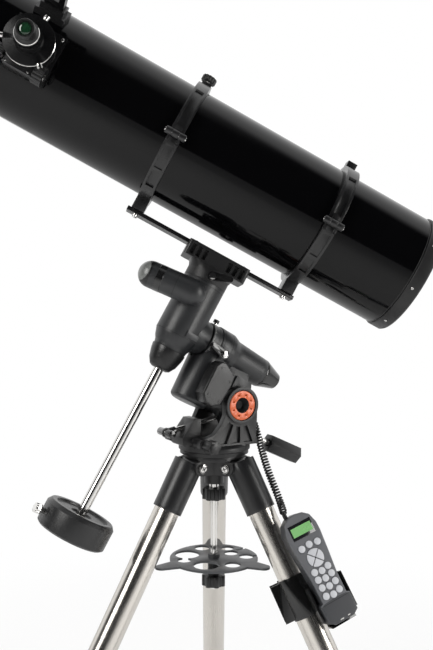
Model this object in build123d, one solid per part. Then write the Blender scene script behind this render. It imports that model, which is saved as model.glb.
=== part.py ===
"""Newtonian reflector telescope, 203 mm aperture, on a motorised German equatorial mount and a
steel tripod.

Frame: millimetres, +Z up, floor at Z = 0, +X towards the equator side, -X towards the pole side.
Every piece is modelled in place about the tripod axis; save() then shifts it along X.
"""
from build123d import *
import math
import os

os.makedirs("parts", exist_ok=True)

# ---------------------------------------------------------------- driving dimensions
GAP = 0.05                     # running clearance of shafts and slides, per side
FOOTPRINT_SHIFT = 27.336       # brings the middle of the footprint box to the origin
# tripod
LEG_AZ = (180.0, -60.0, 60.0)  # where the three legs point
SPLAY = 28.43                  # leg angle from the vertical
HINGE_R, HINGE_Z = 48.0, 739.0  # hinge pins from the tripod axis and the floor
LEG_OFF = 11.7                 # leg axis outboard of its hinge pin
LEG_R, LEG_WALL = 25.4, 1.4    # outer leg tube
EXT_R, EXT_WALL = 22.2, 1.5    # inner leg tube
HEAD_TOP = 762.0
TRAY_Z, TRAY_R = 547.0, 88.8   # top face and radius of the accessory tray
TRAY_THICK = 4
ROD_R = 6.5
# mount
LAT = 28.3                     # polar axis above the horizontal
HOUR = -6.1                    # turn of the declination axis about the polar axis
DEC = -21.75                   # turn of the tube about the declination axis
ALT_X, ALT_Z = 25.8, 861.1     # altitude pivot
RA_ABOVE = 86.9                # polar axis above the pivot
RA_AHEAD = 162.05              # axis crossing ahead of the pivot
CHEEK_IN, CHEEK_OUT = 48.0, 62.0
BOSS_OUT = 66.2
CAP_R = 29.05                  # altitude pivot caps
SHAFT_R = 17.95
CLUTCH_R = 4.0                 # clutch lever screws
# tube assembly
AXIS_H = 309.2                 # tube axis from the axis crossing
TUBE_R, TUBE_IN = 117.5, 115.5
TUBE_REAR, TUBE_FRONT = -335.0, 590.0
RING_AT = (181.5, -150.2)      # tube ring centres along the tube
RING_W = 26.0
BAR_LOW, BAR_HIGH = -159.5, -151.5  # dovetail bar faces from the tube axis
BAR_ENDS = (-168.0, 201.0)
FOC_AT, FOC_ANG = 478.6, -93.4  # focuser axis along and around the tube
FIND_R, FIND_ANG = 225.0, -50.0  # finder axis out from and around the tube
MIRROR_R = 101.6
MIRROR_CURVE = 2000.0          # radius of the reflecting face
# counterweight
CW_TOP, CW_H, CW_R = -398.6, 51.6, 70.0
CW_END = CW_TOP - CW_H
CWBAR_R = 10.0
CWBAR_END = -452


# ---------------------------------------------------------------- helpers
def cosd(angle):
    return math.cos(math.radians(angle))


def sind(angle):
    return math.sin(math.radians(angle))


def polar(radius, angle):
    return radius * cosd(angle), radius * sind(angle)


def on_side(side, inner, outer):
    """Ordered range between two distances on the + or - side of zero."""
    return sorted((side * inner, side * outer))


def at(plane, shape):
    return plane.location * shape


def cyl(r, z0, z1, x=0.0, y=0.0):
    return Pos(x, y, (z0 + z1) / 2) * Cylinder(r, z1 - z0)


def cyl_x(r, x0, x1, y=0.0, z=0.0):
    return Pos((x0 + x1) / 2, y, z) * Rot(0, 90, 0) * Cylinder(r, x1 - x0)


def cyl_y(r, y0, y1, x=0.0, z=0.0):
    return Pos(x, (y0 + y1) / 2, z) * Rot(90, 0, 0) * Cylinder(r, y1 - y0)


def ring(outer, inner, z0, z1, x=0.0, y=0.0):
    return cyl(outer, z0, z1, x, y) - cyl(inner, z0 - 1, z1 + 1, x, y)


def box(x0, x1, y0, y1, z0, z1):
    return Pos((x0 + x1) / 2, (y0 + y1) / 2, (z0 + z1) / 2) * Box(x1 - x0, y1 - y0, z1 - z0)


def rev(profile):
    """Solid of revolution about Z from (radius, z) points."""
    face = make_face(Plane.XZ * Polyline(*profile, close=True))
    return revolve(face, Axis.Z, 360)


def prism_y(outline, y0, y1):
    """Extrusion along Y of an outline in (x, z)."""
    plane = Plane(origin=(0, y1, 0), x_dir=(1, 0, 0), z_dir=(0, -1, 0))
    face = make_face(plane * Polyline(*outline, close=True))
    return extrude(face, amount=y1 - y0, dir=(0, -1, 0))


def prism_z(outline, z0, z1):
    """Extrusion along Z of an outline in (x, y)."""
    plane = Plane(origin=(0, 0, z0), x_dir=(1, 0, 0), z_dir=(0, 0, 1))
    face = make_face(plane * Polyline(*outline, close=True))
    return extrude(face, amount=z1 - z0, dir=(0, 0, 1))


def tangent_quad(c1, r1, c2, r2):
    """Corner points that join two circles by their outer tangents."""
    du, dv = c2[0] - c1[0], c2[1] - c1[1]
    base = math.atan2(dv, du)
    spread = math.acos((r1 - r2) / math.hypot(du, dv))
    corners = ((c1, r1, base + spread), (c2, r2, base + spread),
               (c2, r2, base - spread), (c1, r1, base - spread))
    return [(c[0] + r * math.cos(a), c[1] + r * math.sin(a)) for c, r, a in corners]


def link_y(c1, r1, c2, r2, y0, y1):
    """Plate with two round ends at (x, z) centres."""
    web = prism_y(tangent_quad(c1, r1, c2, r2), y0, y1)
    return cyl_y(r1, y0, y1, *c1) + cyl_y(r2, y0, y1, *c2) + web


def link_z(c1, r1, c2, r2, z0, z1):
    """Plate with two round ends at (x, y) centres."""
    web = prism_z(tangent_quad(c1, r1, c2, r2), z0, z1)
    return cyl(r1, z0, z1, *c1) + cyl(r2, z0, z1, *c2) + web


def lobed(r, lobes, z0, z1, bore=0.0):
    """Knob grip about Z with round lobes."""
    body = cyl(r * 0.84, z0, z1)
    for i in range(lobes):
        body += cyl(r * 0.24, z0, z1, *polar(r * 0.76, 360 * i / lobes))
    if bore:
        body -= cyl(bore, z0 - 1, z1 + 1)
    return body


def lobed_x(centre, r, lobes, half_length):
    return Pos(*centre) * Rot(0, 90, 0) * lobed(r, lobes, -half_length, half_length)


def lobed_y(centre, r, lobes, half_length):
    return Pos(*centre) * Rot(90, 0, 0) * lobed(r, lobes, -half_length, half_length)


def hexagon(across_flats, z0, z1):
    corner_r = across_flats / math.sqrt(3)
    return prism_z([polar(corner_r, 60 * i) for i in range(6)], z0, z1)


def largest(shape):
    return shape.solids().sort_by(SortBy.VOLUME)[-1]


def soften(shape, edges, r):
    """Fillet with r, or a smaller radius; the shape stays sharp if none works."""
    for factor in (1.0, 0.6, 0.3):
        # guards against a radius the kernel cannot fit on these edges
        try:
            out = fillet(edges, r * factor)
            if out.solids() and all(s.is_valid for s in out.solids()):
                return out
        except Exception:
            pass
    return shape


def save(node, *shapes):
    solids = [s for shape in shapes for s in shape.solids()]
    solids = [s.moved(Location((FOOTPRINT_SHIFT, 0, 0))) for s in solids]
    out = solids[0] if len(solids) == 1 else Compound(children=solids)
    export_step(out, "parts/%s.step" % node)


# ---------------------------------------------------------------- frames
def leg_plane(azimuth):
    """x tangential, y outward, z down the leg."""
    c, s = cosd(azimuth), sind(azimuth)
    outward = Vector(cosd(SPLAY) * c, cosd(SPLAY) * s, sind(SPLAY))
    down = Vector(sind(SPLAY) * c, sind(SPLAY) * s, -cosd(SPLAY))
    origin = Vector(HINGE_R * c, HINGE_R * s, HINGE_Z) + outward * LEG_OFF
    return Plane(origin=origin, x_dir=Vector(-s, c, 0), z_dir=down)


def side_plane(x, z, side):
    """z along +Y or -Y."""
    return Plane(origin=(x, 0, z), x_dir=(1, 0, 0), z_dir=(0, side, 0))


def radial_plane(angle, z, x=0):
    """z radial at an angle about Z, x along Z."""
    return Plane(origin=(x, 0, z), x_dir=(0, 0, 1), z_dir=(cosd(angle), sind(angle), 0))


polar_dir = Vector(-cosd(LAT), 0, sind(LAT))
up_dir = Vector(sind(LAT), 0, cosd(LAT))               # square to the polar axis
dec_dir = up_dir * cosd(HOUR) + Vector(0, 1, 0) * sind(HOUR)
tube_dir = polar_dir * cosd(DEC) + dec_dir.cross(polar_dir) * sind(DEC)
crossing = Vector(ALT_X, 0, ALT_Z) + up_dir * RA_ABOVE + polar_dir * RA_AHEAD

RA_FRAME = Plane(origin=crossing, x_dir=up_dir, z_dir=polar_dir)     # y is world +Y
DEC_FRAME = Plane(origin=crossing, x_dir=polar_dir, z_dir=dec_dir)
SADDLE_FRAME = Plane(origin=crossing, x_dir=tube_dir, z_dir=dec_dir)
# x away from the mount, z to the open end
TUBE_FRAME = Plane(origin=crossing + dec_dir * AXIS_H, x_dir=dec_dir, z_dir=tube_dir)
FOCUSER_FRAME = radial_plane(FOC_ANG, FOC_AT)          # within the tube frame
FINDER_FRAME = Plane(origin=(0, 0, 0), x_dir=(*polar(1, FIND_ANG), 0), z_dir=(0, 0, 1))

# ---------------------------------------------------------------- tripod head
PLATE_BASE = 752
PIN_R = 6.0
PIN_HOLE_R = 6.1
EAR_R, EAR_IN, EAR_OUT = 15, 30.3, 38.0
PEG_X = -54                                            # azimuth peg


def hinge_ear(side):
    y0, y1 = on_side(side, EAR_IN, EAR_OUT)
    ear = (cyl_y(EAR_R, y0, y1, HINGE_R, HINGE_Z)
           + box(14, HINGE_R, y0, y1, HINGE_Z - EAR_R, PLATE_BASE)
           + box(14, 61, y0, y1, HINGE_Z, PLATE_BASE))
    return ear - cyl_y(PIN_HOLE_R, y0 - 1, y1 + 1, HINGE_R, HINGE_Z)


head = cyl(62, PLATE_BASE, HEAD_TOP) + cyl(20, 700, PLATE_BASE)
for az in LEG_AZ:
    head += Rot(0, 0, az) * (hinge_ear(-1) + hinge_ear(1))
pins = []
for az in LEG_AZ:
    head -= Rot(0, 0, az) * box(27, 75, -EAR_IN, EAR_IN, 715, 755.2)
    pin = cyl_y(PIN_R, -38.1, 38.1, HINGE_R, HINGE_Z)
    for side in (-1, 1):
        pin += cyl_y(9.0, *on_side(side, 38.1, 43.5), HINGE_R, HINGE_Z)
    pins.append(Rot(0, 0, az) * pin)
head -= cyl(9.75, 690, HEAD_TOP + 1)
head += cyl(6.0, 758, 797, PEG_X, 0)
save("tripod_head", head)
save("leg_hinge_bolts", *pins)

# ---------------------------------------------------------------- legs
# stations along the leg, from the hinge
COLLAR_SEAT = 16
TUBE_END = 760
LOCK_AT = 768
EXT_START, EXT_END = 440, 822
CLAMP_R = 31.5
LOCK_R = 4.0


def leg_collar():
    collar = rev([(0, -2), (29.9, -2), (29.9, 18), (29.2, 100), (0, 100)])
    collar += cyl_x(15, -29.9, 29.9, -LEG_OFF, 0)
    collar -= cyl(LEG_R + GAP, COLLAR_SEAT, 101)
    return collar - cyl_x(PIN_HOLE_R, -31, 31, -LEG_OFF, 0)


def leg_clamp():
    """Sleeve round the end of the outer tube, bored for the lock knob."""
    clamp = ring(CLAMP_R, LEG_R + GAP, 735, TUBE_END + GAP)
    clamp += ring(CLAMP_R, EXT_R + GAP, TUBE_END + GAP, 778)
    clamp += cyl_y(10, 28, 38, 0, LOCK_AT) - cyl(EXT_R + GAP, 750, 790)
    return clamp - cyl_y(LOCK_R + GAP, 15, 45, 0, LOCK_AT)


def leg_foot():
    foot = rev([(0, 812), (26, 812), (26, 826), (21, 842), (21, 880), (0, 880)])
    return foot - cyl(EXT_R + GAP, 811, EXT_END + GAP)


below_floor = Pos(0, 0, -500) * Box(2500, 2500, 1000)
for number, az in enumerate(LEG_AZ, 1):
    frame = leg_plane(az)
    save("leg_%d_collar" % number, at(frame, leg_collar()))

    tube = ring(LEG_R, LEG_R - LEG_WALL, COLLAR_SEAT + GAP, TUBE_END)
    save("leg_%d_tube" % number, at(frame, tube), at(frame, leg_clamp()))

    knob = cyl_y(LOCK_R, EXT_R + 0.5, 40, 0, LOCK_AT)
    knob += lobed_y((0, 47.5, LOCK_AT), 15, 6, 9)
    save("leg_%d_lock_knob" % number, at(frame, knob))

    extension = ring(EXT_R, EXT_R - EXT_WALL, EXT_START, EXT_END)
    extension += ring(LEG_R - LEG_WALL - GAP, EXT_R - EXT_WALL, EXT_START, EXT_START + 16)
    save("leg_%d_extension" % number, at(frame, extension), at(frame, leg_foot()) - below_floor)

# ---------------------------------------------------------------- centre rod, tray and knobs
save("centre_rod", cyl(ROD_R, 484, 776) + cyl(9.7, 689, 750))
save("mount_clamp_knob", lobed(24, 7, 667, 688.95, ROD_R + 0.02))

# azimuth, distance out and radius of each hole through the tray
TRAY_HOLES = ((132, 57, 25), (-137, 52, 25), (-81, 59, 16), (-24, 66, 15), (9, 45, 15),
              (82, 66, 16), (35, 66, 14), (168, 62, 14))
TRAY_SLOTS = ((-24, 78), (14, 66))                     # azimuth, inner end

tray_base = TRAY_Z - TRAY_THICK
tray = cyl(TRAY_R, tray_base, TRAY_Z)
for az in LEG_AZ:
    arm_end = 112 if az == -60 else 117
    tray += Rot(0, 0, az) * link_z((70, 0), 22, (arm_end, 0), 13, tray_base, TRAY_Z)
tray += cyl(12, 536, TRAY_Z + 8)
for az, distance, hole_r in TRAY_HOLES:
    tray -= cyl(hole_r, TRAY_Z - 6, TRAY_Z + 2, *polar(distance, az))
for az, inner_end in TRAY_SLOTS:
    tray -= Rot(0, 0, az) * box(inner_end, 100, -4, 4, TRAY_Z - 6, TRAY_Z + 2)
tray -= cyl(ROD_R + GAP, 530, 570)
save("accessory_tray", tray)

tray_knob = lobed(24, 7, 491, 512, ROD_R + GAP)
tray_knob += cyl(12, 512, 535.9) - cyl(ROD_R + GAP, 500, 540)
save("tray_knob", tray_knob)

# ---------------------------------------------------------------- azimuth base (fork)
AZ_KNOB_Z = 789
AZ_KNOB_R = 4.0
LAT_BOLT_R = 5.0
T_SLOPE, REAR_SLOPE = 11.2, 24.6                       # latitude bolts from the horizontal
T_X, REAR_X = -70, 94.7                                # where the bolt frames start
T_FRAME = Plane(origin=(T_X, 0, 816.0), x_dir=(0, 1, 0), z_dir=(cosd(T_SLOPE), 0, sind(T_SLOPE)))
REAR_FRAME = Plane(origin=(REAR_X, 0, 784.1), x_dir=(0, 1, 0),
                   z_dir=(-cosd(REAR_SLOPE), 0, sind(REAR_SLOPE)))

# (radius, z)
TURNTABLE = [(0, 762.1), (68.5, 762.1), (68.5, 769), (71.5, 771), (71.5, 779), (67, 784), (0, 784)]
# (x, z) outlines
CHEEK = [(-10.2, ALT_Z), (-10.2, 842), (-18, 826), (-34, 808), (-58, 800), (-66, 796), (-66, 772),
         (66, 772), (66, 778), (59.5, 800), (61.8, 835), (61.8, ALT_Z)]
POLE_LUG = [(-84, 800), (-84, 786), (-66, 770), (-44, 770), (-44, 834), (-58, 834)]
EQUATOR_LUG = [(50, 772), (70, 772), (78, 782), (86, 806), (70, 814), (56, 800)]
# start and end angle about the pivot of the pockets between the fanned ribs
POCKETS = ((226, 246), (252, 268), (274, 290))


def rib_pocket(start, end, y0, y1):
    corners = ((42, start + 2), (88, start), (88, end), (42, end - 2))
    outline = []
    for radius, angle in corners:
        dx, dz = polar(radius, angle)
        outline.append((ALT_X + dx, ALT_Z + dz))
    return prism_y(outline, y0, y1) & box(-50, 64, -70, 70, 788, 840)


base = rev(TURNTABLE)
for side in (-1, 1):
    base += prism_y(CHEEK, *on_side(side, CHEEK_IN, CHEEK_OUT))
    base += cyl_y(36, *on_side(side, CHEEK_IN, BOSS_OUT), ALT_X, ALT_Z)
base += prism_y(POLE_LUG, -24, 24)
base += prism_y(EQUATOR_LUG, -18, 18)
base += box(-62, -44, -CHEEK_OUT + 0.5, CHEEK_OUT - 0.5, 772, 800)
base += cyl_y(11, -64, 64, PEG_X, AZ_KNOB_Z)
base = base & (cyl(71.5, 760, 905) + box(-90, 95, -BOSS_OUT, BOSS_OUT, 783, 905))
base -= cyl(30, 784.5, 800) - cyl(12, 784, 801)
for side in (-1, 1):
    for start, end in POCKETS:
        base -= rib_pocket(start, end, *on_side(side, CHEEK_OUT - 6, 70))
    base -= cyl_y(30, *on_side(side, 60.95, 70), ALT_X, ALT_Z)    # seat of the pivot cap
base -= cyl_y(24 + GAP, -80, 80, ALT_X, ALT_Z)
base -= cyl_y(AZ_KNOB_R + GAP, -80, 80, PEG_X, AZ_KNOB_Z)
base -= box(-61.5, -46.5, -16, 16, 755, 800.5)         # slot round the azimuth peg
base -= cyl(ROD_R + GAP, 755, 777)
base -= at(T_FRAME, cyl(LAT_BOLT_R + GAP, -40, 40))
base -= at(REAR_FRAME, cyl(LAT_BOLT_R + GAP, -40, 60))
save("azimuth_base", largest(base))

az_knob = cyl(AZ_KNOB_R, 6.6, 72) + lobed(13.5, 6, 71, 96) + cyl(9, 96, 99)
save("azimuth_knobs", *[at(side_plane(PEG_X, AZ_KNOB_Z, side), az_knob) for side in (-1, 1)])

# latitude bolts: a T handle on the pole side, a hexagon handle on the equator side
T_TIP_X, REAR_TIP_X = ALT_X - 21.0, ALT_X + 12.1
t_bolt = cyl(LAT_BOLT_R, -42, (T_TIP_X - T_X) / cosd(T_SLOPE)) + cyl(8, -30, -19)
t_bolt += Pos(0, 0, -38) * Rot(0, 90, 0) * Cylinder(7.5, 52)
t_bolt += Pos(0, 0, -38) * Sphere(10)
save("latitude_t_bolt", at(T_FRAME, t_bolt))
rear_bolt = cyl(LAT_BOLT_R, -34, (REAR_X - REAR_TIP_X) / cosd(REAR_SLOPE))
rear_bolt += hexagon(34, -116, -36) + cyl(9, -36, -30)
save("latitude_rear_bolt", at(REAR_FRAME, rear_bolt))

# ---------------------------------------------------------------- right ascension housing
# (x, z) places in the RA frame
PIVOT = (-RA_ABOVE, -RA_AHEAD)
RA_CLUTCH = (-14, -87)
MOTOR_Z = -82
BODY_R = 39.5
SPIGOT_R = 30
# (radius, z)
RA_BODY = [(0, -78), (BODY_R, -78), (BODY_R, -112), (38, -116), (33, -129), (29.5, -206),
           (0, -206)]

lug_drop = Vector(2, 0, -48)                           # lug tip from the pivot, world directions
lug_tip = (PIVOT[0] + lug_drop.dot(up_dir), PIVOT[1] + lug_drop.dot(polar_dir))
house = rev(RA_BODY)
house += cyl(SPIGOT_R, -78, -52.5)
house += link_y(PIVOT, 29, (-36, -150), 26, -24, 24)
house += link_y(PIVOT, 29, lug_tip, 9, -12, 12)
house += cyl_y(29, -46, 46, *PIVOT)
for side in (-1, 1):
    plate = link_y(PIVOT, 29, (-20, -150), 14, *on_side(side, 38, 46))
    house += plate & box(-130, -37, -47, 47, -210, -120)
house += cyl_y(8, -42, -20, *RA_CLUTCH)
house += cyl(27, -214, -206)
house -= cyl(SHAFT_R + GAP, -150, -50)
house -= cyl(13, -215, -140)
for side in (-1, 1):
    house -= cyl_y(24.1, *on_side(side, 40, 47), *PIVOT)
house -= cyl_y(CLUTCH_R + GAP, -43, -25, *RA_CLUTCH)
save("ra_housing", at(RA_FRAME, house))

drum = cyl_x(38, -125, -20, 0, MOTOR_Z)
drum = soften(drum, drum.edges().group_by(Axis.X)[0], 9)
drum -= cyl_x(34.5, -121, -10, 0, MOTOR_Z)
drum -= cyl(39.65, -140, -40)
drum -= box(-60, 0, -60, 60, -200, -119)
drum -= cyl_y(8.4, -46, -15, *RA_CLUTCH)
save("ra_motor_cover", at(RA_FRAME, largest(drum)))

# (x, z)
PANEL = [(-30, -84), (-34, -74), (-44, -67), (-104, -65), (-118, -78), (-119, -96), (-108, -111),
         (-64, -117), (-44, -115)]
panel = prism_y(PANEL, -74, -46)
panel = soften(panel, panel.faces().sort_by(Axis.Y)[0].edges(), 4)
panel += (box(-104, -56, -50, -20, -100, -70) - cyl_x(38.1, -140, 0, 0, MOTOR_Z)
          - cyl(39.7, -130, -40))
save("control_panel_cover", at(RA_FRAME, largest(panel)))

# (radius, z)
SCOPE_CAP = [(0, -252), (13, -252), (17, -249), (29.5, -210), (29.5, -206.05), (27.05, -206.05),
             (27.05, -214.1), (25, -214.1), (13, -247), (0, -247)]
save("polar_scope_cap", at(RA_FRAME, rev(SCOPE_CAP)))

circle = ring(37.5, SPIGOT_R + GAP, -77.9, -56)
circle += cyl_x(3.5, 36, 42, 0, -66) + cyl_x(6, 42, 48, 0, -66)
circle -= cyl(SPIGOT_R + GAP, -80, -50)
save("ra_setting_circle", at(RA_FRAME, circle))

lever = link_y(RA_CLUTCH, 9, (-9, -57), 5.5, -50, -42.1)
lever -= cyl_y(CLUTCH_R + GAP, -51, -42, *RA_CLUTCH)
screw = cyl_y(CLUTCH_R, -50.02, -27, *RA_CLUTCH) + cyl_y(6.5, -54, -50.02, *RA_CLUTCH)
save("ra_clutch_lever", at(RA_FRAME, lever), at(RA_FRAME, screw))

# altitude pivot caps, (radius, distance from the middle plane)
ALT_CAP = [(0, 40.05), (24, 40.05), (24, 61.05), (CAP_R, 61.05), (CAP_R, 64.3),
           (CAP_R - 1, 65.3), (15.2, 65.3), (8, 52), (0, 52)]
alt_cap = rev(ALT_CAP)
for i in range(8):
    alt_cap -= cyl(1.7, 62.3, 66, *polar(20.95, 22.5 + 45 * i))
save("altitude_caps", *[at(side_plane(ALT_X, ALT_Z, side), alt_cap) for side in (-1, 1)])

# ---------------------------------------------------------------- declination housing
DEC_R = 43.5
# (radius, z)
DEC_BODY = [(0, -50), (32.5, -50), (34.5, -42), (38, -36), (DEC_R, -20), (DEC_R, 97), (0, 97)]
dec_house = rev(DEC_BODY)
dec_house += cyl_x(36, -51.5, 0)
dec_house += cyl_x(SHAFT_R, -118, -40)                 # polar shaft
dec_house += box(-22, 4, 36, 47, -16, -4)
dec_house -= cyl(SHAFT_R + GAP, 18, 100)
dec_house -= cyl(CWBAR_R + GAP, -70, -20)
dec_house -= cyl_x(9, -120, -60)
save("dec_housing", at(DEC_FRAME, dec_house))

POD_R = 26
pod_start, pod_end = Vector(34, 46, 63), Vector(108, 4, 57)
pod_axis = pod_end - pod_start
pod_length = pod_axis.length
pod_frame = Plane(origin=pod_start, x_dir=Vector(0, 0, 1), z_dir=pod_axis.normalized())
pod = at(pod_frame, cyl(POD_R, 0, pod_length) + Sphere(POD_R)
         + Pos(0, 0, pod_length) * Sphere(POD_R))
pod -= cyl(DEC_R + 0.1, -80, 120)
pod -= at(pod_frame, cyl(23, 8, pod_length))
save("dec_motor_cover", at(DEC_FRAME, pod))

# ---------------------------------------------------------------- counterweight and its bar
# (radius, z)
NOSE = [(0, -93), (15, -93), (21, -90), (28.5, -78), (33, -62), (34.5, -52.5), (34.5, -50.1),
        (0, -50.1)]
SAFETY_CAP = [(0, -459), (12, -459), (13.5, -457), (13.5, CWBAR_END - GAP), (0, CWBAR_END - GAP)]
WEIGHT = [(CWBAR_R + GAP, CW_END + 8), (24, CW_END + 8), (26, CW_END), (CW_R - 5, CW_END),
          (CW_R, CW_END + 4), (CW_R, CW_TOP - 8), (CW_R - 6, CW_TOP), (54, CW_TOP),
          (52, CW_TOP - 5), (22, CW_TOP - 5), (20, CW_TOP - 9), (CWBAR_R + GAP, CW_TOP - 9)]
CW_SCREW_R = 5
CW_SCREW_Z = CW_TOP - 27

bar = cyl(CWBAR_R, CWBAR_END, -22)
nose = rev(NOSE) - cyl(CWBAR_R + 0.02, -100, -50)
save("counterweight_bar", at(DEC_FRAME, bar), at(DEC_FRAME, nose))
save("bar_safety_cap", at(DEC_FRAME, rev(SAFETY_CAP)))

weight = rev(WEIGHT) - cyl_x(CW_SCREW_R + GAP, 0, CW_R + 5, 0, CW_SCREW_Z)
save("counterweight", at(DEC_FRAME, weight))
cw_screw = cyl_x(CW_SCREW_R, CWBAR_R + 0.4, CW_R + 8, 0, CW_SCREW_Z)
cw_screw += lobed_x((CW_R + 14, 0, CW_SCREW_Z), 9.5, 8, 6.5)
save("counterweight_screw", at(DEC_FRAME, cw_screw))

# ---------------------------------------------------------------- saddle
# z of the dovetail bar's faces above the axis crossing
bar_base, bar_top = AXIS_H + BAR_LOW, AXIS_H + BAR_HIGH
SADDLE_X, SADDLE_Y = 66, 34                            # half length and half width
SADDLE_Z0, SADDLE_Z1 = 114, 127                        # where the round foot turns rectangular
CLAMP_Z = 153.6
CLAMP_SCREW_R = 5
DEC_CLUTCH = (-4, 109)                                 # (x, z)

saddle = cyl(DEC_R, 97.6, SADDLE_Z0)
saddle += loft([Plane.XY.offset(SADDLE_Z0) * Circle(DEC_R),
                Plane.XY.offset(SADDLE_Z1) * RectangleRounded(96, 76, 20)])
saddle += box(-SADDLE_X, SADDLE_X, -SADDLE_Y, SADDLE_Y, SADDLE_Z1, bar_base - 0.1)
jaws = [box(-SADDLE_X, SADDLE_X, *on_side(side, 17.6, SADDLE_Y), bar_base - 0.2, bar_top)
        for side in (1, -1)]
saddle += jaws[0] + jaws[1]
end_edges = saddle.edges().filter_by(Axis.Z).filter_by(
    lambda e: abs(abs(e.center().X) - SADDLE_X) < 0.5)
saddle = soften(saddle, end_edges, 6)
for pocket_x in (22, 35, 48):
    for end in (1, -1):
        for side in (1, -1):
            saddle -= box(*on_side(end, pocket_x, pocket_x + 9), *on_side(side, 27, 40), 131, 151)
saddle += cyl(SHAFT_R, 22, 98)
saddle += cyl_y(8, 30, 46, *DEC_CLUTCH)
saddle -= cyl_y(CLUTCH_R + GAP, 30, 60, *DEC_CLUTCH)
saddle -= cyl_y(CLAMP_SCREW_R + GAP, -60, -10, 0, CLAMP_Z)
save("saddle", at(SADDLE_FRAME, saddle))

clamp_knob = cyl_y(CLAMP_SCREW_R, -56, -17.3, 0, CLAMP_Z)
clamp_knob += lobed_y((0, -50, CLAMP_Z), 17, 7, 10)
save("saddle_clamp_knob", at(SADDLE_FRAME, clamp_knob))

lever = link_y(DEC_CLUTCH, 9, (-37, 119), 6, 46.1, 53)
lever -= cyl_y(CLUTCH_R + GAP, 46, 54, *DEC_CLUTCH)
screw = cyl_y(CLUTCH_R, 32, 53.02, *DEC_CLUTCH) + cyl_y(6.5, 53.02, 56.5, *DEC_CLUTCH)
save("dec_clutch_lever", at(SADDLE_FRAME, lever), at(SADDLE_FRAME, screw))

# ---------------------------------------------------------------- dovetail bar
BAR_SCREW_Y = (-8, 8)
BAR_SCREW_R = 3.0
# (x, y)
DOVETAIL = [(BAR_LOW, -17), (BAR_LOW, 17), (BAR_HIGH, 15), (BAR_HIGH, -15)]
dovetail = prism_z(DOVETAIL, *BAR_ENDS)
for mid in RING_AT:
    for y in BAR_SCREW_Y:
        dovetail -= cyl_x(BAR_SCREW_R + GAP, BAR_LOW - 1, BAR_HIGH + 1, y, mid)
save("dovetail_bar", at(TUBE_FRAME, dovetail))

# ---------------------------------------------------------------- tube rings
HINGE = (-18.0, -135.0)                                # ring hinge (x, y), on the -y side
KNUCKLE_R = 7
EAR_Y = 138                                            # clamp bolt, on the +y side
# start and end angle of the shallow windows between the side rails
RING_WINDOWS = ((-89, -47), (-129, -107), (-149, -133), (47, 73), (99, 129), (133, 149))


def ring_band(z0, z1):
    band = ring(130, TUBE_R + GAP, z0, z1)
    for start, end in RING_WINDOWS:
        wedge = [(0, 0)] + [polar(180, a) for a in (start, (start + end) / 2, end)]
        band -= prism_z(wedge, z0 + 5, z1 - 5) - cyl(126, z0 - 1, z1 + 1)
    return band


def lower_ring(band, mid, z0, z1):
    """Half next to the mount: foot, outer hinge knuckles and slotted ear."""
    hx = HINGE[0]
    low = band & (box(-200, -15.6, -200, 0, z0 - 5, z1 + 5)
                  + box(-200, 16.3, -0.001, 200, z0 - 5, z1 + 5))
    low += box(BAR_HIGH + 0.05, -122, -21, 21, z0, z1) - cyl(125, z0 - 1, z1 + 1)
    knuckles = cyl(KNUCKLE_R, mid - 20, mid - 7.2, *HINGE)
    knuckles = knuckles + cyl(KNUCKLE_R, mid + 7.2, mid + 20, *HINGE)
    knuckles += (box(-34, hx, -134, -121, mid - 12.6, mid - 7.2)
                 + box(-34, hx, -134, -121, mid + 7.2, mid + 12.6))
    knuckles -= cyl(TUBE_R + 3, z0 - 10, z1 + 10)
    low += knuckles
    low -= cyl(7.6, mid - 7.2, mid + 7.2, *HINGE)      # room for the upper knuckle
    low -= cyl(3.5, mid - 22, mid + 22, *HINGE)
    low += box(3.5, 16.3, 120, 146, mid - 10, mid + 10) - cyl(125, z0 - 1, z1 + 1)
    low -= box(-3, 18, 133.5, 150, mid - 4.6, mid + 4.6)
    return largest(low)


def upper_ring(band, mid, z0, z1, has_knob):
    """Half away from the mount: middle hinge knuckle, drilled ear and top pad."""
    upper = band & (box(-15.2, 200, -200, 0, z0 - 5, z1 + 5)
                    + box(16.7, 200, -0.001, 200, z0 - 5, z1 + 5))
    knuckle = cyl(KNUCKLE_R, mid - 6.7, mid + 6.7, *HINGE)
    knuckle = knuckle + box(HINGE[0], -2, -134, -121, mid - 6.7, mid + 6.7)
    knuckle -= cyl(TUBE_R + 3, z0 - 10, z1 + 10)
    knuckle -= cyl(130.5, mid - 8, mid + 8) - box(-15.2, 200, -200, 200, mid - 9, mid + 9)
    upper += knuckle
    # room for the lower knuckles
    upper -= cyl(7.6, mid - 21, mid - 7, *HINGE) + cyl(7.6, mid + 7, mid + 21, *HINGE)
    upper -= cyl(3.5, mid - 22, mid + 22, *HINGE)
    upper += box(16.7, 29.5, 118, 146, mid - 10, mid + 10) - cyl(125, z0 - 1, z1 + 1)
    upper -= cyl_x(3.05, 15, 36, EAR_Y, mid)
    pad_top = 140 if has_knob else 146.5
    upper += box(121, pad_top, -11, 11, mid - 10, mid + 10) - cyl(124.8, z0 - 1, z1 + 1)
    if has_knob:
        upper = upper + cyl_x(4.2, 139, 146, 0, mid) + lobed_x((149.2, 0, mid), 15, 12, 5.2)
    return largest(upper)


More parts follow.
